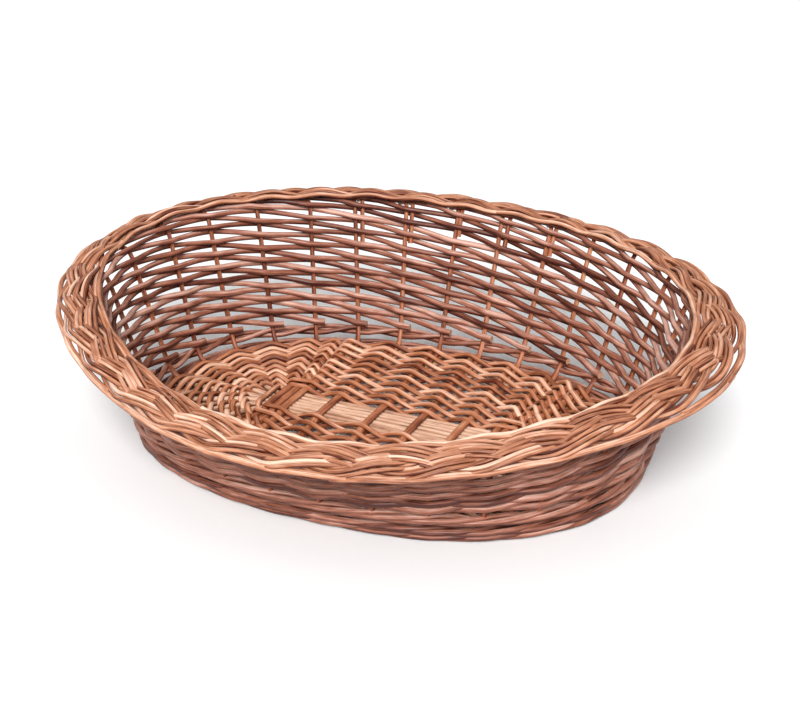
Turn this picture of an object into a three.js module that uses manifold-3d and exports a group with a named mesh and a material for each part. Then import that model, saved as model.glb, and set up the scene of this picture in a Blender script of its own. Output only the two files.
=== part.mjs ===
import * as THREE from "three";
import { mergeVertices } from "three/addons/utils/BufferGeometryUtils.js";
import Module from "manifold-3d";

// A low oval pet basket woven from willow. Long and cross sticks, threaded through each other,
// carry a woven floor. Stakes pushed in beside the stick ends bend up through a stout wale,
// carry the woven wall and end in a wide plaited border that rolls outwards.
// Millimetres. X runs along the basket, +Y is the high back, +Z is up, the ground is Z = 0.

// Ovals through the middle of the wall, at the ground and at the top edge.
// Squareness 2 is a true ellipse, and more is a fuller corner.
const GROUND_LENGTH = 524;
const GROUND_WIDTH = 384;
const GROUND_SQUARENESS = 2.48;
const TOP_LENGTH = 626;
const TOP_WIDTH = 504;
const TOP_SQUARENESS = 2.06;

// Height of the wall's top edge: its mean, and how it sweeps up round the oval.
const RIM_HEIGHT = 155.5;
const BACK_RISE = 27;
const ENDS_RISE = 9;
const LEFT_RISE = 6.5;

// Wall: the wale is the stout band at the foot, and the side weave stands on it.
const WALL_THICKNESS = 10;
const WALE_THICKNESS = 13;
const WALE_HEIGHT = 24;
const WALE_CHAMFER = 3;

// Border: a flat plait that leans outwards and down. It is wider and flatter at the back.
const BORDER_WIDTH = 45.5;
const BORDER_WIDTH_SWING = 4;
const BORDER_THICKNESS = 17.5;
const BORDER_LEAN = 18.5;
const BORDER_LEAN_SWING = 2.5;
const BORDER_LIP = 3.5;

// Stakes: the uprights of the wall.
const STAKE_COUNT = 30;
const STAKE_DIAMETER = 5;
const STAKE_FOOT = 40;
const STAKE_BEND = 10;

// Floor sticks: the long ones run in a bundle along X, through slits in the cross sticks.
const LONG_STICKS = 7;
const LONG_STICK_DIAMETER = 6.4;
const CROSS_STICK_DIAMETER = 8.5;
const SLIT_HALF_THICKNESS = 3.4;
const SLIT_TAPER = 6;
const BUNCH_X = 122;
const SINGLE_X = [77, 31, -17, -71];
const FLOOR_HEIGHT = 12.5;
const FLOOR_WEAVER = 1.6;
const FAN_START = 10;

// Clearances: round a rod in its channel, between neighbouring rods, and between seated faces.
const ROD_CLEARANCE = 0.4;
const ROD_SPACING = 0.8;
const SEAT_CLEARANCE = 0.5;
const FLOOR_EDGE_GAP = 1.2;

const RING_STATIONS = 2 * STAKE_COUNT;
const ROD_SIDES = 6;
const BEND_STATIONS = 2;
const BORDER_END_STEPS = 4;

const WILLOW_COLOURS = {
  longStick: 0xd9a983,
  crossStick: 0xa8683f,
  stake: 0xa9683f,
  floorWeave: 0xc07f52,
  wale: 0x9a5f42,
  sideWeave: 0x8a5a4a,
  border: 0xc9895e,
};

const wasm = await Module();
wasm.setup();

// ---- curves and solids ---------------------------------------------------------------

// A superellipse about the Z axis, measured by its arc length through getPointAt.
class Oval extends THREE.Curve {
  constructor(length, width, squareness) {
    super();
    this.arcLengthDivisions = 720;
    this.length = length;
    this.width = width;
    this.power = 2 / squareness;
  }

  getPoint(turn) {
    const across = Math.cos(2 * Math.PI * turn);
    const along = Math.sin(2 * Math.PI * turn);
    return new THREE.Vector3(
      (this.length / 2) * Math.sign(across) * Math.abs(across) ** this.power,
      (this.width / 2) * Math.sign(along) * Math.abs(along) ** this.power,
      0,
    );
  }

  outwardAt(share) {
    const tangent = this.getTangentAt(share);
    return new THREE.Vector3(tangent.y, -tangent.x, 0).normalize();
  }
}

// A rod's middle line as listed stations, with one section of the rod at each of them.
class RodLine extends THREE.Curve {
  constructor(stations) {
    super();
    this.stations = stations;
  }

  getPointAt(share) {
    return this.stations[Math.round(share * (this.stations.length - 1))].clone();
  }

  getTangentAt(share) {
    const last = this.stations.length - 1;
    const here = Math.round(share * last);
    const tangent = new THREE.Vector3();
    if (here > 0) tangent.add(unit(this.stations[here - 1], this.stations[here]));
    if (here < last) tangent.add(unit(this.stations[here], this.stations[here + 1]));
    return tangent.normalize();
  }
}

function unit(from, to) {
  return new THREE.Vector3().subVectors(to, from).normalize();
}

function wrapped(share) {
  return ((share % 1) + 1) % 1;
}

function rod(stations, diameter) {
  const section = new THREE.Shape();
  section.absarc(0, 0, diameter / 2, 0, 2 * Math.PI, false);
  return new THREE.ExtrudeGeometry(section, {
    steps: stations.length - 1,
    extrudePath: new RodLine(stations),
    curveSegments: ROD_SIDES / 2,
    bevelEnabled: false,
  });
}

// The same line, drawn out straight at both ends.
function drawnOut(stations, startBy, endBy) {
  const last = stations.length - 1;
  const start = stations[0].clone().addScaledVector(unit(stations[1], stations[0]), startBy);
  const end = stations[last].clone();
  end.addScaledVector(unit(stations[last - 1], stations[last]), endBy);
  return [start, ...stations.slice(1, last), end];
}

function channel(stations, diameter) {
  return solid(rod(stations, diameter + 2 * ROD_CLEARANCE));
}

// A closed ring lofted through the sections that sectionAt gives round the oval.
function ring(sectionAt) {
  const positions = [];
  const index = [];
  let corners = 0;
  for (let station = 0; station < RING_STATIONS; station++) {
    const section = sectionAt(station / RING_STATIONS);
    corners = section.length;
    section.forEach((point) => positions.push(point.x, point.y, point.z));
  }
  for (let station = 0; station < RING_STATIONS; station++) {
    const here = station * corners;
    const next = ((station + 1) % RING_STATIONS) * corners;
    for (let corner = 0; corner < corners; corner++) {
      const up = (corner + 1) % corners;
      index.push(here + corner, next + corner, next + up);
      index.push(here + corner, next + up, here + up);
    }
  }
  const geometry = new THREE.BufferGeometry();
  geometry.setAttribute("position", new THREE.Float32BufferAttribute(positions, 3));
  geometry.setIndex(index);
  return geometry;
}

function solid(geometry) {
  const bare = geometry.clone();
  bare.deleteAttribute("normal");
  bare.deleteAttribute("uv");
  const merged = mergeVertices(bare);
  return new wasm.Manifold(
    new wasm.Mesh({
      numProp: 3,
      vertProperties: merged.getAttribute("position").array,
      triVerts: new Uint32Array(merged.index.array),
    }),
  );
}

function geometryOf(body) {
  const mesh = body.getMesh();
  const geometry = new THREE.BufferGeometry();
  geometry.setAttribute("position", new THREE.BufferAttribute(mesh.vertProperties, 3));
  geometry.setIndex(new THREE.BufferAttribute(mesh.triVerts, 1));
  geometry.computeVertexNormals();
  return geometry;
}

function piece(name, geometry, colour) {
  const material = new THREE.MeshStandardMaterial({
    color: colour,
    roughness: 0.55,
    metalness: 0,
  });
  const mesh = new THREE.Mesh(geometry, material);
  mesh.name = name;
  return mesh;
}

// ---- the wall's middle surface ---------------------------------------------------------

const groundOval = new Oval(GROUND_LENGTH, GROUND_WIDTH, GROUND_SQUARENESS);
const topOval = new Oval(TOP_LENGTH, TOP_WIDTH, TOP_SQUARENESS);

function rimHeight(share) {
  const angle = 2 * Math.PI * topOval.getUtoTmapping(share);
  const sweep = BACK_RISE * Math.sin(angle) + ENDS_RISE * Math.cos(2 * angle);
  return RIM_HEIGHT + sweep - LEFT_RISE * Math.cos(angle);
}

// A point of the wall at a share of the way round, a height, and an offset outwards.
function wallPoint(share, height, offset) {
  const round = wrapped(share);
  const rise = height / rimHeight(round);
  const ground = groundOval.getPointAt(round);
  const outward = groundOval.outwardAt(round).lerp(topOval.outwardAt(round), rise).normalize();
  const point = ground.lerp(topOval.getPointAt(round), rise);
  return point.addScaledVector(outward, offset).setZ(height);
}

// ---- border ------------------------------------------------------------------------------

// Half a turn of the section's rounded edge, centred where the flat part ends.
function borderEdge(middle, radius, startAngle) {
  return Array.from({ length: BORDER_END_STEPS + 1 }, (_, step) => {
    const angle = startAngle + (Math.PI * step) / BORDER_END_STEPS;
    return [middle + radius * Math.cos(angle), radius * Math.sin(angle)];
  });
}

// The leaning section of the border, grown all round by the given amount.
function borderSection(share, grown) {
  const back = Math.sin(2 * Math.PI * topOval.getUtoTmapping(share));
  const width = BORDER_WIDTH + BORDER_WIDTH_SWING * back;
  const lean = THREE.MathUtils.degToRad(BORDER_LEAN - BORDER_LEAN_SWING * back);
  const radius = BORDER_THICKNESS / 2;
  const flat = [
    ...borderEdge(width - radius, radius + grown, -Math.PI / 2),
    ...borderEdge(radius, radius + grown, Math.PI / 2),
  ];
  const innerEdge = -WALL_THICKNESS / 2 - BORDER_LIP;
  const outward = topOval.outwardAt(share);
  return flat.map(([out, up]) => {
    const offset = innerEdge + out * Math.cos(lean) + up * Math.sin(lean);
    const height = rimHeight(share) - out * Math.sin(lean) + up * Math.cos(lean);
    return topOval.getPointAt(share).addScaledVector(outward, offset).setZ(height);
  });
}

function borderRing(grown) {
  return solid(ring((share) => borderSection(share, grown)));
}

// ---- wale and side weave ---------------------------------------------------------------

function waleSection(share) {
  const half = WALE_THICKNESS / 2;
  return [
    wallPoint(share, 0, WALE_CHAMFER - half),
    wallPoint(share, 0, half - WALE_CHAMFER),
    wallPoint(share, WALE_CHAMFER, half),
    wallPoint(share, WALE_HEIGHT, half),
    wallPoint(share, WALE_HEIGHT, -half),
    wallPoint(share, WALE_CHAMFER, -half),
  ];
}

// The side weave before the border's underside is cut out of its top.
function sideSection(share) {
  const half = WALL_THICKNESS / 2;
  const foot = WALE_HEIGHT + SEAT_CLEARANCE;
  const top = rimHeight(share) - BORDER_THICKNESS / 2;
  return [
    wallPoint(share, foot, -half),
    wallPoint(share, foot, half),
    wallPoint(share, top, half),
    wallPoint(share, top, -half),
  ];
}

// ---- floor plan --------------------------------------------------------------------------

const longPitch = LONG_STICK_DIAMETER + ROD_SPACING;
const bunchPitch = CROSS_STICK_DIAMETER + ROD_SPACING;
const bundleHalf = (LONG_STICKS * longPitch) / 2;
const crossingHalfLength = BUNCH_X + bunchPitch + CROSS_STICK_DIAMETER / 2;
const crossingHalfWidth = bundleHalf + SLIT_TAPER;
const floorThickness = CROSS_STICK_DIAMETER + 2 * FLOOR_WEAVER;
const floorUnderside = FLOOR_HEIGHT - floorThickness / 2;

// The floor stops short of the wale's inner face, which leans outwards from its foot.
function floorEdge(share, gap) {
  const offset = -WALE_THICKNESS / 2 - gap;
  return wallPoint(share, floorUnderside, offset).setZ(FLOOR_HEIGHT);
}

// The outer stretch of a stick and the foot of the stake beside it, which run side by side.
// Each stick end has a seat, counted in stake pitches round the oval from +X.
function seatAt(seat, leaves, stickDiameter) {
  const share = seat / STAKE_COUNT;
  const edge = floorEdge(share, FLOOR_EDGE_GAP);
  const inwards = unit(edge, leaves);
  const squarely = inwards.dot(groundOval.outwardAt(wrapped(share)).negate());
  const beside = (stickDiameter + STAKE_DIAMETER) / 2 + ROD_SPACING;
  const hasStake = Number.isInteger(seat);
  const shift = hasStake ? beside / squarely / groundOval.getLength() : 0;
  const end = floorEdge(share + shift, FLOOR_EDGE_GAP + stickDiameter / 2);
  const inner = end.clone().addScaledVector(inwards, STAKE_FOOT + FAN_START);
  return { seat, hasStake, edge, inwards, stickPoints: [end, inner] };
}

// The outer long sticks turn away from the bundle first, and the middle one runs straight on.
const longSticks = Array.from({ length: LONG_STICKS }, (_, order) => {
  const middle = (LONG_STICKS - 1) / 2;
  const place = order - middle;
  const turnsAt = crossingHalfLength + (1 + middle - Math.abs(place)) * LONG_STICK_DIAMETER;
  const rightLeaves = new THREE.Vector3(turnsAt, place * longPitch, FLOOR_HEIGHT);
  const leftLeaves = rightLeaves.clone().setX(-turnsAt);
  const right = seatAt(place, rightLeaves, LONG_STICK_DIAMETER);
  const left = seatAt(STAKE_COUNT / 2 - place, leftLeaves, LONG_STICK_DIAMETER);
  const stations = [
    ...right.stickPoints,
    rightLeaves,
    leftLeaves,
    ...left.stickPoints.toReversed(),
  ];
  return { seats: [right, left], stations };
});

const crossPlaces = [
  { x: BUNCH_X + bunchPitch, seat: 4 },
  { x: BUNCH_X, seat: 4.5 },
  { x: BUNCH_X - bunchPitch, seat: 5 },
  ...SINGLE_X.map((x, order) => ({ x, seat: 6 + order })),
  { x: -BUNCH_X + bunchPitch, seat: 10 },
  { x: -BUNCH_X, seat: 10.5 },
  { x: -BUNCH_X - bunchPitch, seat: 11 },
];

const crossSticks = crossPlaces.map(({ x, seat }) => {
  const backLeaves = new THREE.Vector3(x, crossingHalfWidth, FLOOR_HEIGHT);
  const frontLeaves = backLeaves.clone().setY(-crossingHalfWidth);
  const back = seatAt(seat, backLeaves, CROSS_STICK_DIAMETER);
  const front = seatAt(STAKE_COUNT - seat, frontLeaves, CROSS_STICK_DIAMETER);
  const stations = [
    ...back.stickPoints,
    backLeaves,
    frontLeaves,
    ...front.stickPoints.toReversed(),
  ];
  return { x, seats: [back, front], stations };
});

// A cross stick is slit where the bundle passes, and its two halves spread over and under it.
function crossStick({ x, stations }) {
  const slitHeight = LONG_STICK_DIAMETER + 2 * ROD_CLEARANCE;
  const spread = slitHeight / 2 + SLIT_HALF_THICKNESS;
  const plain = CROSS_STICK_DIAMETER / 2 - ROD_CLEARANCE;
  const outline = new THREE.Shape();
  outline.moveTo(-crossingHalfWidth, -plain);
  outline.lineTo(-bundleHalf, -spread);
  outline.lineTo(bundleHalf, -spread);
  outline.lineTo(crossingHalfWidth, -plain);
  outline.lineTo(crossingHalfWidth, plain);
  outline.lineTo(bundleHalf, spread);
  outline.lineTo(-bundleHalf, spread);
  outline.lineTo(-crossingHalfWidth, plain);
  const halves = new THREE.ExtrudeGeometry(outline, {
    depth: CROSS_STICK_DIAMETER,
    bevelEnabled: false,
  });
  halves.translate(0, 0, -CROSS_STICK_DIAMETER / 2);
  halves.rotateX(Math.PI / 2);
  halves.rotateZ(Math.PI / 2);
  halves.translate(x, 0, FLOOR_HEIGHT);
  const slit = new THREE.BoxGeometry(2 * bunchPitch, 2 * bundleHalf, slitHeight);
  slit.translate(x, 0, FLOOR_HEIGHT);
  const whole = solid(rod(stations, CROSS_STICK_DIAMETER)).add(solid(halves));
  return geometryOf(whole.subtract(solid(slit)));
}

// ---- stakes --------------------------------------------------------------------------------

function stakeOf({ seat, edge, inwards }) {
  const share = wrapped(seat / STAKE_COUNT);
  const footEnd = edge.clone().addScaledVector(inwards, STAKE_FOOT);
  const corner = wallPoint(share, FLOOR_HEIGHT, 0);
  const bend = new THREE.QuadraticBezierCurve3(
    edge,
    corner,
    wallPoint(share, FLOOR_HEIGHT + STAKE_BEND, 0),
  );
  const top = wallPoint(share, rimHeight(share) - BORDER_THICKNESS / 3, 0);
  return { share, stations: [footEnd, ...bend.getPoints(BEND_STATIONS), top] };
}

const stakes = [...longSticks, ...crossSticks]
  .flatMap(({ seats }) => seats)
  .filter(({ hasStake }) => hasStake)
  .map((seat) => ({ ...seat, ...stakeOf(seat) }))
  .sort((one, other) => one.share - other.share);

// ---- floor weave ---------------------------------------------------------------------------

function floorWeave() {
  const rim = Array.from({ length: RING_STATIONS }, (_, station) => {
    const point = floorEdge(station / RING_STATIONS, FLOOR_EDGE_GAP);
    return new THREE.Vector2(point.x, point.y);
  });
  const outline = new THREE.Shape(rim);
  const windowHalfLength = crossingHalfLength + LONG_STICK_DIAMETER;
  const windowHalfWidth = crossingHalfWidth + ROD_SPACING;
  outline.holes.push(
    new THREE.Path([
      new THREE.Vector2(-windowHalfLength, -windowHalfWidth),
      new THREE.Vector2(-windowHalfLength, windowHalfWidth),
      new THREE.Vector2(windowHalfLength, windowHalfWidth),
      new THREE.Vector2(windowHalfLength, -windowHalfWidth),
    ]),
  );
  const plate = new THREE.ExtrudeGeometry(outline, { depth: floorThickness, bevelEnabled: false });
  plate.translate(0, 0, floorUnderside);
  let weave = solid(plate);
  const through = (sticks, diameter) => {
    for (const { stations } of sticks) {
      weave = weave.subtract(channel(drawnOut(stations, 2 * diameter, 2 * diameter), diameter));
    }
  };
  through(longSticks, LONG_STICK_DIAMETER);
  through(crossSticks, CROSS_STICK_DIAMETER);
  return pierced(weave, 0);
}

// Cuts the stakes' channels. They run on past the stakes' tops by the given length.
function pierced(body, pastTop) {
  const cut = stakes.reduce((rest, { stations }) => {
    const line = drawnOut(stations, SEAT_CLEARANCE, pastTop);
    return rest.subtract(channel(line, STAKE_DIAMETER));
  }, body);
  return geometryOf(cut);
}

// ---- assembly ------------------------------------------------------------------------------

const floor = new THREE.Group();
longSticks.forEach(({ stations }, order) => {
  const geometry = rod(stations, LONG_STICK_DIAMETER);
  floor.add(piece(`base_stick_long_${order + 1}`, geometry, WILLOW_COLOURS.longStick));
});
crossSticks.forEach((stick, order) => {
  const name = `base_stick_cross_${order + 1}`;
  floor.add(piece(name, crossStick(stick), WILLOW_COLOURS.crossStick));
});
floor.add(piece("base_weave", floorWeave(), WILLOW_COLOURS.floorWeave));

const wall = new THREE.Group();
stakes.forEach(({ stations }, order) => {
  const name = `stake_${String(order + 1).padStart(2, "0")}`;
  wall.add(piece(name, rod(stations, STAKE_DIAMETER), WILLOW_COLOURS.stake));
});
const wale = pierced(solid(ring(waleSection)), 0);
const seated = solid(ring(sideSection)).subtract(borderRing(SEAT_CLEARANCE));
const sideWeave = pierced(seated, 0);
const border = pierced(borderRing(0), SEAT_CLEARANCE);
wall.add(piece("upsett_wale", wale, WILLOW_COLOURS.wale));
wall.add(piece("side_weave", sideWeave, WILLOW_COLOURS.sideWeave));
wall.add(piece("border", border, WILLOW_COLOURS.border));

// The border is wider at the back, so the basket is moved to stand with its outline centred.
const basket = new THREE.Group();
basket.add(floor, wall);
const outline = new THREE.Box3().setFromObject(basket);
const middle = outline.getCenter(new THREE.Vector3());
basket.position.set(-middle.x, -middle.y, -outline.min.z);

const root = new THREE.Group();
root.add(basket);

export default root;
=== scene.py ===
import math

import bpy
import numpy as np
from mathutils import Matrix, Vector


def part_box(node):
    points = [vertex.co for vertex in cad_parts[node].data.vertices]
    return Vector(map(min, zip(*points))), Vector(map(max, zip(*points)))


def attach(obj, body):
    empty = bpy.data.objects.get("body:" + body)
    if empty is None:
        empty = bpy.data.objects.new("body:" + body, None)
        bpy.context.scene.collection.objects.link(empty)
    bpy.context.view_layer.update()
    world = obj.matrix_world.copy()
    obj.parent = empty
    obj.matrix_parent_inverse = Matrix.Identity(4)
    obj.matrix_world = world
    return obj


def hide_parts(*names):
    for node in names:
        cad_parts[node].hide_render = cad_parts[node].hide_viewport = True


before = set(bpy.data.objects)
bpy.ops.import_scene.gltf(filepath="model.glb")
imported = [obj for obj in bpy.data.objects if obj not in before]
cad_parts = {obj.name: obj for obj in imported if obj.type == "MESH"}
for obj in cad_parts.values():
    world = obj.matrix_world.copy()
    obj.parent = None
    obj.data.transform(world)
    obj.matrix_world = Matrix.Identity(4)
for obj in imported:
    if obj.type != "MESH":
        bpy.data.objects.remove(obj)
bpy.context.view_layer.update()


# --- Long floor sticks --------------------------------------------------------------------
# Seven stout rods of pale peeled willow, laid side by side along the basket. Their ends spread
# like a fan towards the two ends of the floor, and the floor is woven round them. Lengths here
# and below are in metres.
STAKE_COUNT = 30
GROUND_OVAL = {"length": 0.524, "width": 0.384, "squareness": 2.3}
TOP_OVAL = {"length": 0.626, "width": 0.504, "squareness": 2.0}
RIM_HEIGHT = 0.1555
RIM_BACK_RISE = 0.027
RIM_ENDS_RISE = 0.009
RIM_LEFT_RISE = 0.0065
LONG_STICKS = 7
LONG_STICK_RADIUS = 0.0031
LONG_STICK_THIN = 0.0027
LONG_STICK_PITCH = 0.0072
LONG_STICK_UNEVEN = 0.0004
FAN_FROM = 0.1356
FLOOR_HEIGHT = 0.0125
FLOOR_EDGE_INSET = 0.0085
FLOOR_PERIMETER = 1.49
STAKE_ROOM = 0.0033
ROD_SIDES = 10
RADIUS_WAVES = (3.1, 7.3, 13.7)
RADIUS_WAVE_SHARE = 0.022

wale_low, wale_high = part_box("upsett_wale")
basket_middle = np.array([(wale_low.x + wale_high.x) / 2, (wale_low.y + wale_high.y) / 2, 0.0])


def distances(line):
    """How far along a line each of its points lies."""
    return np.concatenate([[0.0], np.cumsum(np.linalg.norm(np.diff(line, axis=0), axis=1))])


def measured_oval(length, width, squareness):
    """A superellipse as a closed line, with each point's share of the way round."""
    turn = np.linspace(0.0, 1.0, 4001)
    across, along = np.cos(2 * np.pi * turn), np.sin(2 * np.pi * turn)
    power = 2 / squareness
    x = length / 2 * np.sign(across) * np.abs(across) ** power
    y = width / 2 * np.sign(along) * np.abs(along) ** power
    line = np.stack([x, y], 1)
    far = distances(line)
    heading = np.roll(line[:-1], -1, 0) - np.roll(line[:-1], 1, 0)
    heading = np.concatenate([heading, heading[:1]])
    heading /= np.linalg.norm(heading, axis=1)[:, None]
    outward = np.stack([heading[:, 1], -heading[:, 0]], 1)
    return {"turn": turn, "share": far / far[-1], "line": line, "outward": outward}


ground_oval = measured_oval(**GROUND_OVAL)
top_oval = measured_oval(**TOP_OVAL)


def on_oval(oval, share, column):
    """A column of a measured oval, read at shares of the way round."""
    values = oval[column].reshape(len(oval["share"]), -1)
    places = np.mod(share, 1.0)
    return np.stack([np.interp(places, oval["share"], values[:, k]) for k in range(values.shape[1])], -1)


def unit(vector):
    """Vectors brought to length 1."""
    return vector / np.linalg.norm(vector, axis=-1, keepdims=True)


def rim_height(share):
    """Height of the wall's top edge: high at the back, swept up at the ends."""
    angle = 2 * np.pi * on_oval(top_oval, share, "turn")[..., 0]
    rise = RIM_BACK_RISE * np.sin(angle) + RIM_ENDS_RISE * np.cos(2 * angle)
    return RIM_HEIGHT + rise - RIM_LEFT_RISE * np.cos(angle)


def wall_outward(share, rise):
    """Level directions out of the wall. Rise is 0 at the ground and 1 at the wall's top edge."""
    ground = on_oval(ground_oval, share, "outward")
    outward = unit(ground * (1 - rise) + on_oval(top_oval, share, "outward") * rise)
    return np.concatenate([outward, np.zeros_like(outward[..., :1])], -1)


def wall_point(share, height, offset):
    """Points of the flared wall: share of the way round, height, and offset outwards."""
    wanted = (np.asarray(value, float) for value in (share, height, offset))
    share, height, offset = np.broadcast_arrays(*wanted)
    rise = (height / rim_height(share))[..., None]
    flat = on_oval(ground_oval, share, "line") * (1 - rise) + on_oval(top_oval, share, "line") * rise
    outward = wall_outward(share, rise)
    flat = flat + outward[..., :2] * offset[..., None]
    return np.concatenate([flat, height[..., None]], -1) + basket_middle


def stick_end(seat, leaves, stick_radius):
    """Where a floor stick ends at the wall, beside its stake. A half seat has no stake.

    Seats count stake pitches round from +X.
    """
    share = seat / STAKE_COUNT
    edge = wall_point(share, FLOOR_HEIGHT, -FLOOR_EDGE_INSET)
    beside = 0.0 if seat % 1 else stick_radius + STAKE_ROOM
    squarely = float(np.dot(unit(edge - leaves), wall_outward(share, 0.0)))
    beside_share = beside / squarely / FLOOR_PERIMETER
    return wall_point(share + beside_share, FLOOR_HEIGHT, -FLOOR_EDGE_INSET)


def smooth_path(stations, step, soften):
    """A line through stations with its corners eased, cut into even steps."""
    stations = np.asarray(stations, float)
    far = distances(stations)
    fine = 0.001
    marks = np.linspace(0, far[-1], int(far[-1] / fine) + 2)
    line = np.stack([np.interp(marks, far, stations[:, k]) for k in range(3)], 1)
    reach = int(soften / fine / 2)
    before = line[0] + (line[0] - line[1]) * np.arange(reach, 0, -1)[:, None]
    after = line[-1] + (line[-1] - line[-2]) * np.arange(1, reach + 1)[:, None]
    line = np.concatenate([before, line, after])
    easing = np.ones(2 * reach + 1) / (2 * reach + 1)
    line = np.stack([np.convolve(line[:, k], easing, mode="valid") for k in range(3)], 1)
    picks = np.linspace(0, len(line) - 1, max(3, int(far[-1] / step) + 1)).round().astype(int)
    return line[picks]


def rod(points, butt, tip, up, tone, rng, flat=1.0, swell=1.0):
    """One rod: its line, the radii of its two ends, the way its top faces, and its tone."""
    along = np.linspace(0.0, 1.0, len(points))
    radius = (butt + (tip - butt) * along) * swell
    waves = sum(np.sin(2 * np.pi * (along * count + rng.random())) for count in RADIUS_WAVES)
    radius = radius * (1 + RADIUS_WAVE_SHARE * waves)
    return {"points": points, "radius": radius, "up": up, "tone": tone, "flat": flat}


def rod_rings(one):
    """Corners of a rod's sections, and each section's distance along the rod."""
    points = one["points"]
    heading = unit(np.gradient(points, axis=0))
    side = unit(np.cross(heading, np.broadcast_to(one["up"], points.shape)))
    over = np.cross(side, heading)
    angle = 2 * np.pi * np.arange(ROD_SIDES) / ROD_SIDES
    wide = one["radius"][:, None, None] * np.cos(angle)[None, :, None]
    high = one["radius"][:, None, None] * one["flat"] * np.sin(angle)[None, :, None]
    rings = points[:, None, :] + side[:, None, :] * wide + over[:, None, :] * high
    return rings, distances(points)


def rod_piece(name, rods, finish):
    """A mesh object of many rods with cut ends. Its uv map runs along and round each rod."""
    corners, faces, coords, tones, cuts, rounded = [], [], [], [], [], []
    start = 0
    for one in rods:
        rings, far = rod_rings(one)
        count = len(rings)
        here = start + np.arange(count * ROD_SIDES).reshape(count, ROD_SIDES)
        after = np.roll(here, -1, 1)
        quads = np.stack([here[:-1], here[1:], after[1:], after[:-1]], -1).reshape(-1, 4)
        faces += quads.tolist()
        turn = np.arange(ROD_SIDES + 1) / ROD_SIDES
        low, high = np.meshgrid(far[:-1], turn[:-1], indexing="ij")
        low_next, high_next = np.meshgrid(far[1:], turn[1:], indexing="ij")
        quad_coords = [(low, high), (low_next, high), (low_next, high_next), (low, high_next)]
        coords.append(np.stack([np.stack(pair, -1) for pair in quad_coords], -2).reshape(-1, 2))
        rounded += [True] * len(quads)
        start += count * ROD_SIDES
        corners.append(rings.reshape(-1, 3))
        cuts.append(np.zeros(count * ROD_SIDES))
        for end, step in ((0, 1), (-1, -1)):
            corners.append(rings[end])
            faces.append((start + np.arange(ROD_SIDES))[::step].tolist())
            coords.append(np.stack([np.full(ROD_SIDES, far[end]), turn[:-1]], -1))
            cuts.append(np.ones(ROD_SIDES))
            rounded.append(False)
            start += ROD_SIDES
        tones.append(np.full((count + 2) * ROD_SIDES, one["tone"]))
    mesh = bpy.data.meshes.new(name)
    mesh.from_pydata(np.concatenate(corners).tolist(), [], faces)
    mesh.uv_layers.new(name="rod").data.foreach_set("uv", np.concatenate(coords).ravel())
    mesh.attributes.new("tone", "FLOAT", "POINT").data.foreach_set("value", np.concatenate(tones))
    mesh.attributes.new("cut", "FLOAT", "POINT").data.foreach_set("value", np.concatenate(cuts))
    mesh.polygons.foreach_set("use_smooth", rounded)
    mesh.materials.append(finish)
    piece = bpy.data.objects.new(name, mesh)
    bpy.context.collection.objects.link(piece)
    return piece


STREAK = {"girth": 2.6, "stretch": 26.0, "detail": 3.0}
BLOTCH = {"girth": 0.7, "stretch": 55.0, "detail": 2.0}
DRIFT = {"girth": 0.15, "stretch": 7.0, "detail": 1.0}
STREAK_AMOUNT = 1.1
BLOTCH_AMOUNT = 0.8
DRIFT_AMOUNT = 1.0
SCAR_SCALE = 0.55
SCAR_REACH = 0.16
SCAR_DEPTH = 0.45
# How much lighter each rod's top is painted, and how much darker its underside: a painted highlight above
# and painted shade below.
PAINTED_TOP_LIGHT = 0.32
LEVEL_DROP = 0.19
ROD_TO_ROD_SHIFT = 91.0
LEAST_ROUGHNESS = 0.30
BLOTCH_ROUGHNESS = 0.3
BLOTCH_RELIEF = 0.5


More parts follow.
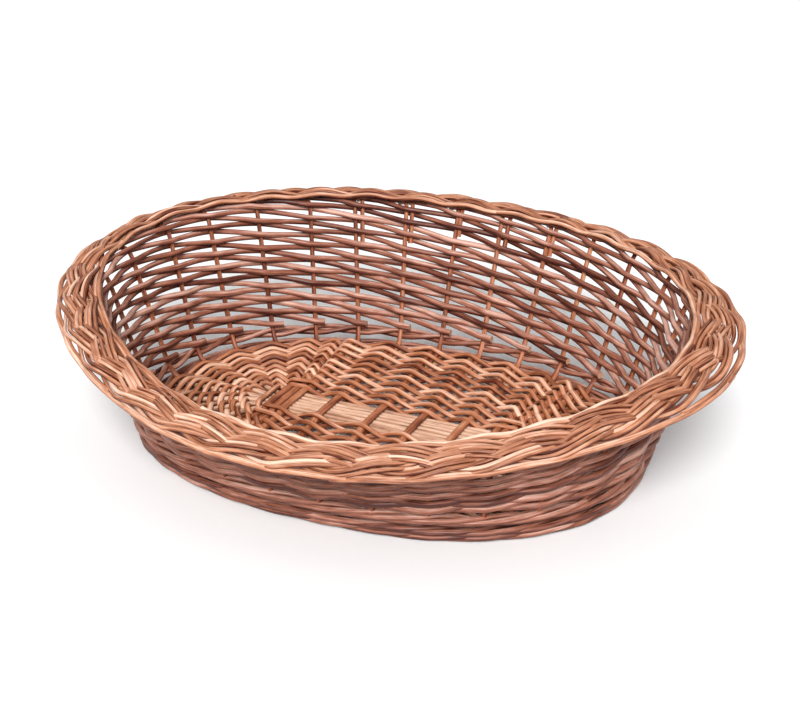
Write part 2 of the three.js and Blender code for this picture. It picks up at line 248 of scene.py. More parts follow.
def bark_group():
    """Willow skin: streaks along the rod, blotches, a slow drift, a painted highlight on top with painted
    shade underneath, and bud scars.
    """
    group = bpy.data.node_groups.new("willow_bark", "ShaderNodeTree")
    wanted = (
        ("Along", "NodeSocketFloat"),
        ("Round", "NodeSocketFloat"),
        ("Tone", "NodeSocketFloat"),
        ("Cut", "NodeSocketFloat"),
        ("Dark", "NodeSocketColor"),
        ("Middle", "NodeSocketColor"),
        ("Light", "NodeSocketColor"),
        ("Pith", "NodeSocketColor"),
    )
    for label, kind in wanted:
        group.interface.new_socket(label, in_out="INPUT", socket_type=kind)
    given_back = (("Color", "NodeSocketColor"), ("Gloss", "NodeSocketFloat"), ("Height", "NodeSocketFloat"))
    for label, kind in given_back:
        group.interface.new_socket(label, in_out="OUTPUT", socket_type=kind)
    nodes, links = group.nodes, group.links
    given = nodes.new("NodeGroupInput")
    made = nodes.new("NodeGroupOutput")

    def math_node(kind, first, second=0.0):
        node = nodes.new("ShaderNodeMath")
        node.operation = kind
        for socket, value in zip(node.inputs, (first, second)):
            if isinstance(value, (int, float)):
                socket.default_value = value
            else:
                links.new(value, socket)
        return node.outputs[0]

    angle = math_node("MULTIPLY", given.outputs["Round"], 2 * math.pi)
    shift = math_node("MULTIPLY", given.outputs["Tone"], ROD_TO_ROD_SHIFT)

    def on_skin(girth, stretch):
        """A place on the skin, as if the rod were a cylinder of that girth and stretch."""
        place = nodes.new("ShaderNodeCombineXYZ")
        links.new(math_node("MULTIPLY", math_node("COSINE", angle), girth), place.inputs[0])
        links.new(math_node("MULTIPLY", math_node("SINE", angle), girth), place.inputs[1])
        far = math_node("MULTIPLY", given.outputs["Along"], stretch)
        links.new(math_node("ADD", far, shift), place.inputs[2])
        return place.outputs[0]

    def noise(girth, stretch, detail):
        texture = nodes.new("ShaderNodeTexNoise")
        texture.inputs["Scale"].default_value = 1.0
        texture.inputs["Detail"].default_value = detail
        links.new(on_skin(girth, stretch), texture.inputs["Vector"])
        return texture.outputs["Fac"]

    def spread(value, amount):
        return math_node("MULTIPLY", math_node("SUBTRACT", value, 0.5), amount)

    streak, blotch, drift = noise(**STREAK), noise(**BLOTCH), noise(**DRIFT)
    scars = nodes.new("ShaderNodeTexVoronoi")
    scars.inputs["Scale"].default_value = SCAR_SCALE
    links.new(on_skin(STREAK["girth"], STREAK["stretch"]), scars.inputs["Vector"])
    scar = math_node("LESS_THAN", scars.outputs["Distance"], SCAR_REACH)
    level = math_node("ADD", spread(streak, STREAK_AMOUNT), spread(blotch, BLOTCH_AMOUNT))
    level = math_node("ADD", level, spread(drift, DRIFT_AMOUNT))
    # Painted light: each rod's top is painted lighter and its underside darker. This gives a painted
    # highlight above, and painted shade below and between neighbouring rods. The level drop then darkens the
    # whole skin to make up for it.
    painted_top_light = math_node("MULTIPLY", math_node("SINE", angle), PAINTED_TOP_LIGHT)
    level = math_node("ADD", level, math_node("SUBTRACT", painted_top_light, LEVEL_DROP))
    level = math_node("ADD", level, given.outputs["Tone"])
    level = math_node("SUBTRACT", level, math_node("MULTIPLY", scar, SCAR_DEPTH))

    def blend(share, first, second):
        node = nodes.new("ShaderNodeMix")
        node.data_type = "RGBA"
        links.new(share, node.inputs[0])
        links.new(first, node.inputs[6])
        links.new(second, node.inputs[7])
        return node.outputs[2]

    lower = math_node("MULTIPLY", level, 2.0)
    upper = math_node("SUBTRACT", lower, 1.0)
    skin = blend(lower, given.outputs["Dark"], given.outputs["Middle"])
    skin = blend(upper, skin, given.outputs["Light"])
    links.new(blend(given.outputs["Cut"], skin, given.outputs["Pith"]), made.inputs["Color"])
    rough = math_node("MULTIPLY", blotch, BLOTCH_ROUGHNESS)
    links.new(math_node("ADD", rough, LEAST_ROUGHNESS), made.inputs["Gloss"])
    relief = math_node("MULTIPLY", blotch, BLOTCH_RELIEF)
    links.new(math_node("ADD", streak, relief), made.inputs["Height"])
    return group


willow_bark = bark_group()


def colour(red, green, blue):
    """A colour given as it is seen on a screen, 0 to 255, as the linear light it stands for."""
    seen = np.array([red, green, blue]) / 255
    linear = np.where(seen <= 0.04045, seen / 12.92, ((seen + 0.055) / 1.055) ** 2.4)
    return (*linear.tolist(), 1.0)


PITH = colour(190, 144, 112)
WILLOW_SPECULAR = 0.38
RELIEF_STRENGTH = 0.5
RELIEF_DEPTH = 0.0004


def willow_finish(name, dark, middle, light):
    """A willow material. The skin's effect group gives colour, gloss and height."""
    finish = bpy.data.materials.new(name)
    finish.use_nodes = True
    nodes, links = finish.node_tree.nodes, finish.node_tree.links
    shader = nodes["Principled BSDF"]
    shader.inputs["Specular IOR Level"].default_value = WILLOW_SPECULAR
    shader.inputs["Coat Weight"].default_value = 0.0
    bark = nodes.new("ShaderNodeGroup")
    bark.node_tree = willow_bark
    for label, value in (("Dark", dark), ("Middle", middle), ("Light", light), ("Pith", PITH)):
        bark.inputs[label].default_value = value
    coords = nodes.new("ShaderNodeUVMap")
    coords.uv_map = "rod"
    parts = nodes.new("ShaderNodeSeparateXYZ")
    links.new(coords.outputs[0], parts.inputs[0])
    links.new(parts.outputs[0], bark.inputs["Along"])
    links.new(parts.outputs[1], bark.inputs["Round"])
    for label in ("tone", "cut"):
        value = nodes.new("ShaderNodeAttribute")
        value.attribute_name = label
        links.new(value.outputs["Fac"], bark.inputs[label.capitalize()])
    relief = nodes.new("ShaderNodeBump")
    relief.inputs["Strength"].default_value = RELIEF_STRENGTH
    relief.inputs["Distance"].default_value = RELIEF_DEPTH
    links.new(bark.outputs["Height"], relief.inputs["Height"])
    links.new(bark.outputs["Color"], shader.inputs["Base Color"])
    links.new(bark.outputs["Gloss"], shader.inputs["Roughness"])
    links.new(relief.outputs[0], shader.inputs["Normal"])
    return finish


pale_willow = willow_finish("pale_willow", colour(66, 32, 16), colour(188, 140, 112), colour(226, 188, 162))
UP = np.array([0.0, 0.0, 1.0])
dice = np.random.default_rng(11)
long_sticks, long_ends = [], []
middle_stick = (LONG_STICKS - 1) // 2
for order in range(LONG_STICKS):
    place = order - middle_stick
    part_at = FAN_FROM + (middle_stick + 1 - abs(place)) * 2 * LONG_STICK_RADIUS
    leaves = [basket_middle + (side * part_at, place * LONG_STICK_PITCH, FLOOR_HEIGHT) for side in (1, -1)]
    seats = (place % STAKE_COUNT, STAKE_COUNT // 2 - place)
    ends = [stick_end(seat, start, LONG_STICK_RADIUS) for seat, start in zip(seats, leaves)]
    long_ends += [(seat, start, end, LONG_STICK_RADIUS) for seat, start, end in zip(seats, leaves, ends)]
    path = smooth_path([ends[0], leaves[0], leaves[1], ends[1]], step=0.006, soften=0.05)
    path[:, 1:] += LONG_STICK_UNEVEN * np.sin(np.linspace(0, 9, len(path)) + order)[:, None]
    radii = (LONG_STICK_THIN, LONG_STICK_RADIUS)
    radii = radii[::-1] if order % 2 else radii
    long_sticks.append(rod(path, *radii, UP, dice.uniform(0.48, 0.66), dice))
long_bundle = rod_piece("long_floor_sticks", long_sticks, pale_willow)
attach(long_bundle, "root")
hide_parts(*(f"base_stick_long_{order + 1}" for order in range(LONG_STICKS)))


# --- Cross floor sticks -------------------------------------------------------------------
# Ten thicker brown rods, slit in the middle so that the long sticks pass through them. Three
# lie together at each end of the bundle, and four single ones lie between.
CROSS_STICK_RADIUS = 0.00425
CROSS_STICK_THICK = 0.0043
CROSS_STICK_THIN = 0.0041
BUNCH_X = 0.122
BUNCH_PITCH = 0.0093
SINGLE_X = (0.077, 0.031, -0.017, -0.071)
BUNDLE_HALF = 0.0252
SLIT_END = 0.0312
SLIT_TAIL = 0.006
SLIT_TAIL_LIFT = 0.0006
SLIT_HALF_MIDDLE = 0.0021
SLIT_HALF_FLATNESS = 0.6

brown_willow = willow_finish("brown_willow", colour(98, 42, 20), colour(172, 102, 68), colour(214, 152, 114))
cross_places = [(BUNCH_X + BUNCH_PITCH, 4), (BUNCH_X, 4.5), (BUNCH_X - BUNCH_PITCH, 5)]
cross_places += [(x, 6 + order) for order, x in enumerate(SINGLE_X)]
cross_places += [(BUNCH_PITCH - BUNCH_X, 10), (-BUNCH_X, 10.5), (-BUNCH_X - BUNCH_PITCH, 11)]
dice = np.random.default_rng(12)
cross_rods, cross_ends = [], []
for x, seat in cross_places:
    tone = dice.uniform(0.25, 0.6)
    for side, end_seat in ((1, seat), (-1, STAKE_COUNT - seat)):
        leaves = basket_middle + (x, side * SLIT_END, FLOOR_HEIGHT)
        end = stick_end(end_seat, leaves, CROSS_STICK_RADIUS)
        cross_ends.append((end_seat, leaves, end, CROSS_STICK_RADIUS))
        inner = basket_middle + (x, side * BUNDLE_HALF, FLOOR_HEIGHT)
        path = smooth_path([inner, leaves, end], step=0.006, soften=0.03)
        cross_rods.append(rod(path, CROSS_STICK_THIN, CROSS_STICK_THICK, UP, tone, dice))
    for half in (1, -1):
        low = FLOOR_HEIGHT + half * SLIT_TAIL_LIFT
        high = FLOOR_HEIGHT + half * (LONG_STICK_RADIUS + SLIT_HALF_MIDDLE)
        stations = [
            basket_middle + (x, -SLIT_END - SLIT_TAIL, low),
            basket_middle + (x, -BUNDLE_HALF, high),
            basket_middle + (x, BUNDLE_HALF, high),
            basket_middle + (x, SLIT_END + SLIT_TAIL, low),
        ]
        path = smooth_path(stations, step=0.003, soften=0.008)
        radii = (CROSS_STICK_THICK, CROSS_STICK_THICK)
        cross_rods.append(rod(path, *radii, UP, tone, dice, flat=SLIT_HALF_FLATNESS))
cross_bars = rod_piece("cross_floor_sticks", cross_rods, brown_willow)
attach(cross_bars, "root")
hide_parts(*(f"base_stick_cross_{order + 1}" for order in range(len(cross_places))))


# --- Floor weave --------------------------------------------------------------------------
# Pairs of willow rods, twisted round each stick in turn: one goes over while the other goes
# under, and they change places in every gap. Ten rounds reach from the bundle to the wall.
FLOOR_ROUNDS = 10
FLOOR_ROD_RADIUS = 0.0031
FLOOR_ROD_FLATNESS = 0.82
FIRST_ROUND_OUT = 0.0036
LAST_ROUND_GAP = 0.004
BUNCHED_SEATS = (4, 4.5, 5, 10, 10.5, 11)
BUNCHED_LONG_ROUNDS = 1
BUNCHED_CROSS_ROUNDS = 2
TWIST_WIDTH = 0.0034
TWIST_SHARPNESS = 0.97
TWIST_BITE = 0.0004
FLOOR_STEP = 0.0026
FLOOR_EASING = 2
FLOOR_UNEVEN = 0.0004
SHORTEST_FLOOR_ROD = 6

floor_willow = willow_finish("floor_willow", colour(90, 34, 12), colour(180, 112, 76), colour(236, 192, 164))
stick_ends = sorted(long_ends + cross_ends, key=lambda end: end[0] % STAKE_COUNT)


def gathered(round_number):
    """The sticks that a round goes over together: the first rounds take them in bunches."""
    bunches = []
    for seat, leaves, end, radius in stick_ends:
        if radius == LONG_STICK_RADIUS:
            tight = round_number < BUNCHED_LONG_ROUNDS
            first = FIRST_ROUND_OUT
        else:
            tight = round_number < BUNCHED_CROSS_ROUNDS and seat % (STAKE_COUNT // 2) in BUNCHED_SEATS
            first = BUNDLE_HALF - SLIT_END + FIRST_ROUND_OUT
        length = float(np.linalg.norm(end - leaves))
        out = first + (length - LAST_ROUND_GAP - first) * round_number / (FLOOR_ROUNDS - 1)
        point = leaves + (end - leaves) * out / length
        if bunches and tight and bunches[-1]["tight"] and bunches[-1]["radius"] == radius:
            bunches[-1]["points"].append(point)
        else:
            bunches.append({"points": [point], "tight": tight, "radius": radius})
    first, last = bunches[0], bunches[-1]
    if first["tight"] and last["tight"] and first["radius"] == last["radius"]:
        first["points"] = last["points"] + first["points"]
        bunches.pop()
    return bunches


def zigzag(wave, sharpness):
    """A sine wave drawn out towards straight strokes, as the sharpness nears 1."""
    return np.arcsin(sharpness * wave) / np.arcsin(sharpness)


def floor_round(round_number, rng):
    """The two rods of one round, each cut in lengths whose ends lie under a stick."""
    bunches = gathered(round_number)
    knots, counts, lifts = [], [], []
    for number, bunch in enumerate(bunches):
        for point in (bunch["points"][0], bunch["points"][-1]):
            knots.append(point)
            counts.append(number)
            lifts.append(bunch["radius"] + FLOOR_ROD_RADIUS - TWIST_BITE)
    knots.append(knots[0])
    counts.append(len(bunches))
    lifts.append(lifts[0])
    knots = np.array(knots)
    far = distances(knots)
    marks = np.linspace(0, far[-1], int(far[-1] / FLOOR_STEP))[:-1]
    line = np.stack([np.interp(marks, far, knots[:, k]) for k in range(3)], 1)
    count = np.interp(marks, far, counts)
    lift = np.interp(marks, far, lifts)
    line = sum(np.roll(line, k, 0) for k in range(-FLOOR_EASING, FLOOR_EASING + 1))
    line = line / (2 * FLOOR_EASING + 1)
    heading = unit(np.roll(line, -1, 0) - np.roll(line, 1, 0))
    outward = np.stack([heading[:, 1], -heading[:, 0], np.zeros(len(line))], 1)
    rods = []
    for partner in (0, 1):
        phase = np.pi * (count + partner)
        path = line + outward * (TWIST_WIDTH * np.sin(phase))[:, None]
        path[:, 2] += lift * zigzag(np.cos(phase), TWIST_SHARPNESS)
        path[:, 2] += FLOOR_UNEVEN * np.sin(marks * 31 + round_number)
        under = [k for k in range(1, len(bunches)) if (k + partner) % 2]
        breaks = sorted(rng.choice(under, 2, replace=False))
        stops = [0, *(int(np.searchsorted(count, k)) for k in breaks), len(path)]
        closed = np.concatenate([path, path[:2]])
        for begin, stop in zip(stops[:-1], stops[1:]):
            if stop - begin > SHORTEST_FLOOR_ROD:
                radius = FLOOR_ROD_RADIUS * rng.uniform(0.95, 1.08)
                radii = (radius, radius * 0.9)
                tone = rng.uniform(0.2, 0.8)
                stretch = closed[begin:stop + 1]
                rods.append(rod(stretch, *radii, UP, tone, rng, flat=FLOOR_ROD_FLATNESS))
    return rods


dice = np.random.default_rng(13)
floor_bands = {"inner": range(4), "middle": range(4, 7), "outer": range(7, FLOOR_ROUNDS)}
floor_pieces = []
for name, rounds in floor_bands.items():
    rods = [one for number in rounds for one in floor_round(number, dice)]
    floor_pieces.append(rod_piece(f"floor_weave_{name}", rods, floor_willow))
for piece in floor_pieces:
    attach(piece, "root")
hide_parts("base_weave")


# --- Stakes -------------------------------------------------------------------------------
# Thirty uprights of brown willow. Each is pushed into the floor beside a stick end, bends up
# through the wale and turns outwards into the border. Some at the back carry a second rod.
STAKE_RADIUS = 0.0028
STAKE_FOOT_DROP = 0.001
STAKE_UPRIGHT_FROM = 0.026
STAKE_LEAN = 0.0012
BEND_BELOW_RIM = 0.016
TURN_BELOW_RIM = 0.008
TURN_OUT = 0.004
END_BELOW_RIM = 0.0135
END_OUT = 0.016
TWIN_SEATS = range(6, 11)
TWIN_PITCH = 2.1 * STAKE_RADIUS
TOP_PERIMETER = 1.7
BORDER_BACK_RISE = 0.003
BORDER_FRONT_DROP = 0.006


def border_tilt(share):
    """How far the border lies above the wall's top edge at the back, or below it in front."""
    back = np.sin(2 * np.pi * on_oval(top_oval, share, "turn")[..., 0])
    return BORDER_BACK_RISE * np.maximum(back, 0) - BORDER_FRONT_DROP * np.maximum(-back, 0) ** 3


dice = np.random.default_rng(14)
ends_by_seat = {seat % STAKE_COUNT: (leaves, end, radius) for seat, leaves, end, radius in stick_ends}
stakes = []
for seat in range(STAKE_COUNT):
    share = seat / STAKE_COUNT
    leaves, end, _ = ends_by_seat[seat]
    edge = wall_point(share, FLOOR_HEIGHT, -FLOOR_EDGE_INSET)
    inwards = unit(leaves - edge)
    woven = float(np.linalg.norm(end - leaves)) - 2 * LAST_ROUND_GAP
    foot = LAST_ROUND_GAP + 2 * woven / (FLOOR_ROUNDS - 1)
    rim = float(rim_height(share) + border_tilt(share))
    leaning, _ = share + STAKE_LEAN * dice.standard_normal(2)
    stations = [
        edge + inwards * foot - (0.0, 0.0, STAKE_FOOT_DROP),
        edge,
        wall_point(share, STAKE_UPRIGHT_FROM, 0.0),
        wall_point(leaning, rim - BEND_BELOW_RIM, 0.0),
        wall_point(leaning, rim - TURN_BELOW_RIM, TURN_OUT),
        wall_point(share + 0.2 / STAKE_COUNT, rim - END_BELOW_RIM, END_OUT),
    ]
    side = np.cross(wall_outward(share, 0.5), UP)
    path = smooth_path(stations, step=0.005, soften=0.02)
    radii = (STAKE_RADIUS * 1.05, STAKE_RADIUS * 0.9)
    stakes.append(rod(path, *radii, side, dice.uniform(0.2, 0.65), dice))
    if seat in TWIN_SEATS:
        beside = share - TWIN_PITCH / TOP_PERIMETER
        drop = dice.uniform(0.035, 0.06)
        twin = [
            wall_point(beside, rim - drop, 0.0),
            wall_point(beside, rim - BEND_BELOW_RIM, 0.0),
            wall_point(beside, rim - TURN_BELOW_RIM, TURN_OUT),
            wall_point(share, rim - END_BELOW_RIM, END_OUT),
        ]
        path = smooth_path(twin, step=0.004, soften=0.012)
        radii = (STAKE_RADIUS, STAKE_RADIUS * 0.85)
        stakes.append(rod(path, *radii, side, dice.uniform(0.3, 0.7), dice))
stake_piece = rod_piece("stakes", stakes, brown_willow)
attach(stake_piece, "root")
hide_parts(*(f"stake_{number + 1:02d}" for number in range(STAKE_COUNT)))


# --- Upsett wale --------------------------------------------------------------------------
# The stout foot of the wall: rounds of three thick rods. Each rod passes outside two stakes
# and inside one, over the other two rods, which locks the stakes upright. Two rounds lie close
# together at the ground, and a third, looser one follows after a narrow gap.
WALE_ROUNDS = (
    {"middle": 0.0050, "rise": 0.0017, "radius": 0.0029},
    {"middle": 0.0114, "rise": 0.0017, "radius": 0.0028},
    {"middle": 0.0255, "rise": 0.0034, "radius": 0.0028},
)
WALE_STROKE = 3
WALE_STROKE_AT = (0.0, 0.12, 0.34, 0.56, 0.70, 0.83, 0.94, 1.0)
WALE_STROKE_OUT = (0.0, 0.7, 1.05, 0.8, 0.0, -0.9, -0.7, 0.0)
WALE_STROKE_UP = (-0.9, -0.8, -0.2, 0.8, 1.0, 0.3, -0.6, -0.9)
WALE_BUTT_AT = 2.45
WALE_BUTT_PAST = 0.5
WALE_TIP_SHORT = 0.3
WALE_SECTIONS = 12
WALE_UNEVEN = 0.0005

wall_willow = willow_finish("wall_willow", colour(74, 28, 17), colour(150, 92, 71), colour(210, 166, 149))
dice = np.random.default_rng(15)
wale_rods = []
for level, wale in enumerate(WALE_ROUNDS):
    for weaver in range(WALE_STROKE):
        turns = dice.permutation(STAKE_COUNT // WALE_STROKE)[:3]
        starts = np.sort(weaver + WALE_STROKE * turns + WALE_BUTT_AT)
        for start, stop in zip(starts, np.roll(starts, -1) + (0, 0, STAKE_COUNT)):
            sections = int((stop - start) * WALE_SECTIONS)
            place = np.linspace(start - WALE_BUTT_PAST, stop - WALE_TIP_SHORT, sections)
            stroke = np.mod((place - weaver) / WALE_STROKE, 1.0)
            out = np.interp(stroke, WALE_STROKE_AT, WALE_STROKE_OUT) * (STAKE_RADIUS + wale["radius"])
            height = wale["middle"] + wale["rise"] * np.interp(stroke, WALE_STROKE_AT, WALE_STROKE_UP)
            height = height + WALE_UNEVEN * np.sin(place * 1.7 + 5 * level)
            path = wall_point(place / STAKE_COUNT, height, out)
            path[1:-1] = (path[:-2] + path[1:-1] + path[2:]) / 3
            radii = (wale["radius"] * 1.05, wale["radius"] * 0.9)
            wale_rods.append(rod(path, *radii, UP, dice.uniform(0.25, 0.65), dice))
wale_piece = rod_piece("upsett_wale_rods", wale_rods, wall_willow)
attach(wale_piece, "root")
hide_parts("upsett_wale")


# --- Side weave ---------------------------------------------------------------------------
# French randing: one rod starts at every stake, butt end inside and low, and climbs round the
# basket as it goes outside one stake and inside the next. Its thin tip ends under the border.
SIDE_LEVELS = 18
SIDE_FOOT = 0.0365
SIDE_TOP_GAP = 0.0095
SIDE_ROD_BUTT = 0.0034
SIDE_ROD_TIP = 0.0028
SIDE_BITE = 0.84
SIDE_SHARPNESS = 0.98
SIDE_ROD_SECTIONS = 330
BUTT_PAST = 0.2
BUTT_INWARDS = 0.004
TIP_OUTWARDS = 0.006
BACK_THICKER = 0.06
SIDE_UNEVEN = 0.0007
SIDE_PIECE_RODS = 6

dice = np.random.default_rng(16)
side_rods = []
for seat in range(STAKE_COUNT):
    begins, ends = -BUTT_PAST - dice.uniform(0, 0.06), SIDE_LEVELS + dice.uniform(1.5, 2.0)
    climb = np.linspace(begins, ends, SIDE_ROD_SECTIONS)
    place = seat + climb
    share = place / STAKE_COUNT
    top = rim_height(share) - SIDE_TOP_GAP
    level = np.maximum(climb, 0) / SIDE_LEVELS
    stout = 1 + BACK_THICKER * np.sin(2 * np.pi * share)
    reach = STAKE_RADIUS + (SIDE_ROD_BUTT + (SIDE_ROD_TIP - SIDE_ROD_BUTT) * level) * stout
    stroke = zigzag(np.cos(np.pi * np.maximum(climb, 0)), SIDE_SHARPNESS)
    out = -SIDE_BITE * reach * stroke - BUTT_INWARDS * np.maximum(-climb, 0)
    out = out + TIP_OUTWARDS * np.maximum(climb - SIDE_LEVELS, 0)
    slow, quick, _ = dice.random(3)
    wander = SIDE_UNEVEN * (np.sin(place * 0.9 + 6 * slow) + np.sin(place * 2.3 + 6 * quick))
    height = SIDE_FOOT + (top - SIDE_FOOT) * level + wander
    height = np.minimum(height, top + border_tilt(share))
    path = wall_point(share, height, out)
    tone = float(np.clip(dice.normal(0.45, 0.16), 0.1, 0.85))
    size = stout * dice.uniform(0.93, 1.07)
    side_rods.append(rod(path, SIDE_ROD_BUTT, SIDE_ROD_TIP, UP, tone, dice, swell=size))
side_pieces = []
for group, first in enumerate(range(0, STAKE_COUNT, SIDE_PIECE_RODS)):
    chosen = side_rods[first:first + SIDE_PIECE_RODS]
    side_pieces.append(rod_piece(f"side_weave_{group + 1}", chosen, wall_willow))
for piece in side_pieces:
    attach(piece, "root")
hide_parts("side_weave")


# --- Border -------------------------------------------------------------------------------
# A wide plait of the turned-down stake tops and added rods: three strands of five rods each,
# that cross over twice for every stake. A few rods run along its two edges and close them.
STRANDS = 3
STRAND_RODS = 5
BORDER_ROD_RADIUS = 0.0021
BORDER_ROD_PITCH = 0.0047
BORDER_WIDTH = 0.0455
BORDER_BACK_WIDER = 0.004
BORDER_ENDS_WIDER = 0.003
BORDER_LEAN = 18.5
BORDER_ROLL = 2
BORDER_BACK_FLATTER = 4
BORDER_INNER_EDGE = -0.0085
BORDER_ENDS_OUT = 0.0055
BORDER_LEFT_OUT = 0.003
BORDER_FRONT_INSET = 0.004
PLAIT_DEPTH = 0.0036
PLAIT_MARGIN = 0.0014
PLAIT_SHARPNESS = 0.93
PLAIT_LATE = math.radians(8)
STRAND_CROWN = 0.0006
STRAND_LENGTHS = (4, 5, 3, 4, 4)
SEAM_SPACING = 1.5
SEAM_STAGGER = 26.0
SEAM_OVERLAP = 0.16
EDGE_RODS = (0.0223, 0.0198, -0.0196, -0.0222)
EDGE_LENGTHS = (8, 6, 9, 7)
EDGE_OVERLAP = 0.12
EDGE_DEPTH = 0.0014
EDGE_WEAVE = 0.0005
EDGE_HOLLOWS = {"outer": 0.25, "inner": 0.75}
BORDER_SECTIONS = 13
EDGE_SECTIONS = 12
UNEVEN_SLOW = 0.0006
UNEVEN_QUICK = 0.0004
UNEVEN_UP = 0.0005
LOOSE_AT = -0.015
LOOSE_SPAN = {"plait": 0.05, "edge": 0.04}
LOOSE = {
    "narrower": 0.1,
    "closer": 0.06,
    "inwards": 0.0015,
    "deeper": 0.2,
    "thicker": 0.14,
    "edge_out": 0.002,
}

border_colours = (colour(94, 36, 13), colour(188, 126, 93), colour(240, 204, 180))
border_willow = willow_finish("border_willow", *border_colours)
dice = np.random.default_rng(17)


def border_point(share, across, up):
    """A point of the leaning border: across from its middle, and up off its middle layer."""
    angle = 2 * np.pi * on_oval(top_oval, share, "turn")[..., 0]
    back, ends = np.sin(angle), np.cos(angle) ** 4
    lean = np.radians(BORDER_LEAN - BORDER_ROLL * back - BORDER_BACK_FLATTER * np.maximum(back, 0))
    half = (BORDER_WIDTH + BORDER_BACK_WIDER * back + BORDER_ENDS_WIDER * ends) / 2
    out = half + across * half / (BORDER_WIDTH / 2)
    inner = BORDER_INNER_EDGE + (BORDER_ENDS_OUT - BORDER_LEFT_OUT * np.cos(angle)) * ends
    inner = inner - BORDER_FRONT_INSET * np.sin(2 * angle) ** 2 * (back < 0)
    offset = inner + out * np.cos(lean) + up * np.sin(lean)
    height = rim_height(share) + border_tilt(share) - out * np.sin(lean) + up * np.cos(lean)
    line = on_oval(top_oval, share, "line") + on_oval(top_oval, share, "outward") * offset[..., None]
    return np.concatenate([line, height[..., None]], -1) + basket_middle


def border_tone_and_painted_shade(place, rng):
    """A rod's tone: it varies at random from rod to rod, and the ends and back of the border get painted
    shade, so its front is paler.
    """
    front = max(0.0, -math.sin(2 * math.pi * float(np.mean(place)) / STAKE_COUNT))
    return float(np.clip(rng.normal(0.27 + 0.25 * front, 0.15), 0.08, 0.95))


def looseness(share, span):
    """Near 1 at the one place by the right-hand end where the plait is looser, else near 0."""
    return np.exp(-((np.mod(share + 0.5, 1) - 0.5 - LOOSE_AT) / span) ** 2)


def rod_joins(lengths, rng):
    """Where one rod of the border ends and the next begins, counted round from 0."""
    return np.concatenate([[0], np.cumsum(rng.permutation(lengths))])


def places_along(begin, stop, overlap, sections_per_stake):
    """Places along a rod that runs a little past its two joins, in stake pitches."""
    sections = int((stop - begin) * sections_per_stake) + 8
    return np.linspace(begin - overlap, stop + overlap, sections)


strand_half = (STRAND_RODS - 1) / 2 * BORDER_ROD_PITCH + BORDER_ROD_RADIUS
swing = BORDER_WIDTH / 2 - strand_half - PLAIT_MARGIN
top_length = distances(top_oval["line"])[-1]
border_pieces = []
for strand in range(STRANDS):
    rods = []
    for member in range(STRAND_RODS):
        side_step = (member - (STRAND_RODS - 1) / 2) * BORDER_ROD_PITCH
        knots = dice.integers(0, 20) + rod_joins(STRAND_LENGTHS, dice)
        stagger = np.where(knots % 2, -SEAM_STAGGER, SEAM_STAGGER) * side_step
        seams = 0.25 - strand + SEAM_SPACING * knots - stagger
        for begin, stop in zip(seams[:-1], seams[1:]):
            place = places_along(begin, stop, SEAM_OVERLAP, BORDER_SECTIONS)
            share = place / STAKE_COUNT
            loose = looseness(share, LOOSE_SPAN["plait"])
            turn = 2 * np.pi * (place + strand + dice.normal(0, 0.03)) / STRANDS
            stroke = zigzag(np.sin(turn), PLAIT_SHARPNESS) * dice.normal(1, 0.03)
            across = swing * (1 - LOOSE["narrower"] * loose) * stroke
            slope = np.gradient(across, place * top_length / STAKE_COUNT)
            across = across + side_step * np.sqrt(1 + slope ** 2) * (1 - LOOSE["closer"] * loose)
            slow, quick, other = dice.random(3) * 6
            across = across + UNEVEN_SLOW * np.sin(place * 0.8 + slow)
            across = across + UNEVEN_QUICK * np.sin(place * 2.1 + quick)
            across = across - LOOSE["inwards"] * loose
            depth = PLAIT_DEPTH * (1 + LOOSE["deeper"] * loose)
            up = -depth * np.sin(2 * (turn - PLAIT_LATE)) + dice.normal(0, 0.0006)
            up = up + STRAND_CROWN * (1 - (side_step / strand_half) ** 2)
            up = up + UNEVEN_UP * np.sin(place * 1.3 + other)
            size = BORDER_ROD_RADIUS * dice.uniform(0.9, 1.12) * (1 + LOOSE["thicker"] * loose)
            path = border_point(share, across, up)
            rods.append(rod(path, 1.05, 0.93, UP, border_tone_and_painted_shade(place, dice), dice, swell=size))
    border_pieces.append(rod_piece(f"border_strand_{strand + 1}", rods, border_willow))
edge_rods = []
for beside in EDGE_RODS:
    outer = beside > 0
    hollow = EDGE_HOLLOWS["outer" if outer else "inner"]
    seams = dice.integers(0, 30) + 0.5 + hollow + rod_joins(EDGE_LENGTHS, dice)
    for begin, stop in zip(seams[:-1], seams[1:]):
        place = places_along(begin, stop, EDGE_OVERLAP, EDGE_SECTIONS)
        share = place / STAKE_COUNT
        slow, other, _ = dice.random(3) * 6
        weave = np.cos(2 * np.pi * (place - hollow))
        across = beside + math.copysign(EDGE_WEAVE, beside) * weave
        across = across + UNEVEN_SLOW * np.sin(place * 0.9 + slow)
        across = across + LOOSE["edge_out"] * looseness(share, LOOSE_SPAN["edge"]) * outer
        up = EDGE_DEPTH * (weave - 1) + UNEVEN_SLOW * np.sin(place * 1.4 + other)
        size = BORDER_ROD_RADIUS * dice.uniform(0.95, 1.15)
        path = border_point(share, across, up)
        edge_rods.append(rod(path, 1.05, 0.93, UP, border_tone_and_painted_shade(place, dice), dice, swell=size))
border_pieces.append(rod_piece("border_edge_rods", edge_rods, border_willow))
for piece in border_pieces:
    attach(piece, "root")
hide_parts("border")


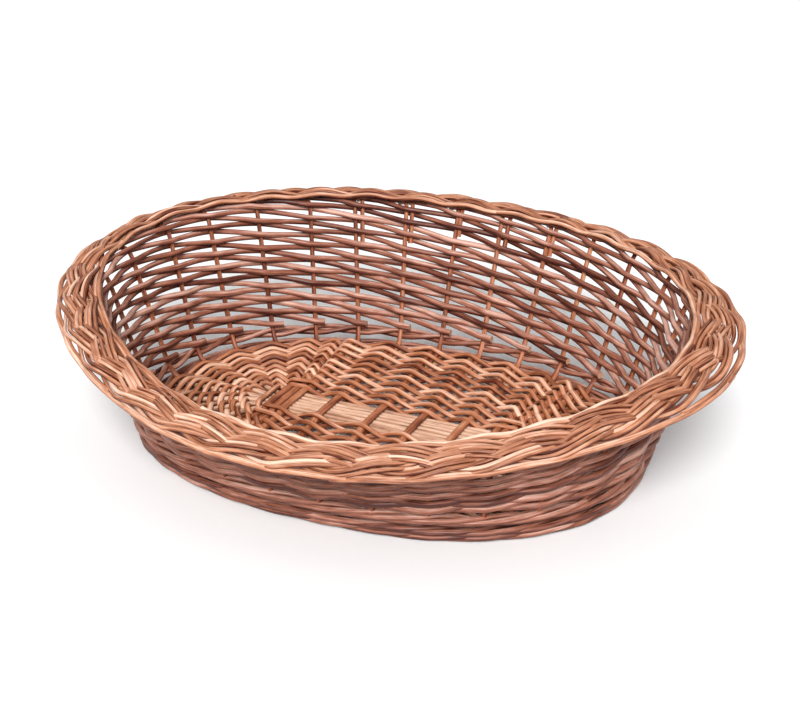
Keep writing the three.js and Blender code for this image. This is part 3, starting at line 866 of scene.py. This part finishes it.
# --- Studio -------------------------------------------------------------------------------
# A pale floor, soft light from above and from the camera's side, and a longish lens that looks
# down on the basket from the front.
CAMERA_AZIMUTH = 24.98
CAMERA_ELEVATION = 24.77
CAMERA_DISTANCE = 1.551
AIM_HEIGHT = 0.062
LENS = 67.5
SENSOR = 36.0
FRAME_SHIFT = (0.0142, 0.0311)
FLOOR_REACH = 40
PAPER_WHITE = 0.93
SKY_STRENGTH = 0.55
KEY_STRENGTH = 3.65
KEY_SPREAD = 24
KEY_FROM = (0.3, -0.92, 0.78)

azimuth, elevation = math.radians(CAMERA_AZIMUTH), math.radians(CAMERA_ELEVATION)
towards_camera = Vector((
    math.sin(azimuth) * math.cos(elevation),
    -math.cos(azimuth) * math.cos(elevation),
    math.sin(elevation),
))
looked_at = Vector((basket_middle[0], basket_middle[1], AIM_HEIGHT))
camera = bpy.data.objects.new("camera", bpy.data.cameras.new("camera"))
camera.location = looked_at + towards_camera * CAMERA_DISTANCE
camera.rotation_euler = (-towards_camera).to_track_quat("-Z", "Y").to_euler()
camera.data.lens = LENS
camera.data.sensor_width = SENSOR
camera.data.shift_x, camera.data.shift_y = FRAME_SHIFT
bpy.context.collection.objects.link(camera)
bpy.context.scene.camera = camera

ground = bpy.data.meshes.new("studio_floor")
floor_corners = [(x * FLOOR_REACH, y * FLOOR_REACH, 0) for x, y in ((-1, -1), (1, -1), (1, 1), (-1, 1))]
ground.from_pydata(floor_corners, [], [(0, 1, 2, 3)])
studio_floor = bpy.data.objects.new("studio_floor", ground)
bpy.context.collection.objects.link(studio_floor)
paper = bpy.data.materials.new("paper")
paper.use_nodes = True
paper_shader = paper.node_tree.nodes["Principled BSDF"]
paper_shader.inputs["Base Color"].default_value = (PAPER_WHITE, PAPER_WHITE, PAPER_WHITE, 1)
paper_shader.inputs["Roughness"].default_value = 0.9
ground.materials.append(paper)

world = bpy.data.worlds.new("studio")
bpy.context.scene.world = world
world.use_nodes = True
sky = world.node_tree.nodes["Background"]
sky.inputs["Color"].default_value = (1.0, 1.0, 1.0, 1)
sky.inputs["Strength"].default_value = SKY_STRENGTH
key = bpy.data.objects.new("key_light", bpy.data.lights.new("key_light", "SUN"))
key.data.energy = KEY_STRENGTH
key.data.angle = math.radians(KEY_SPREAD)
key.rotation_euler = Vector(KEY_FROM).to_track_quat("Z", "Y").to_euler()
bpy.context.collection.objects.link(key)
bpy.context.scene.view_settings.view_transform = "Standard"
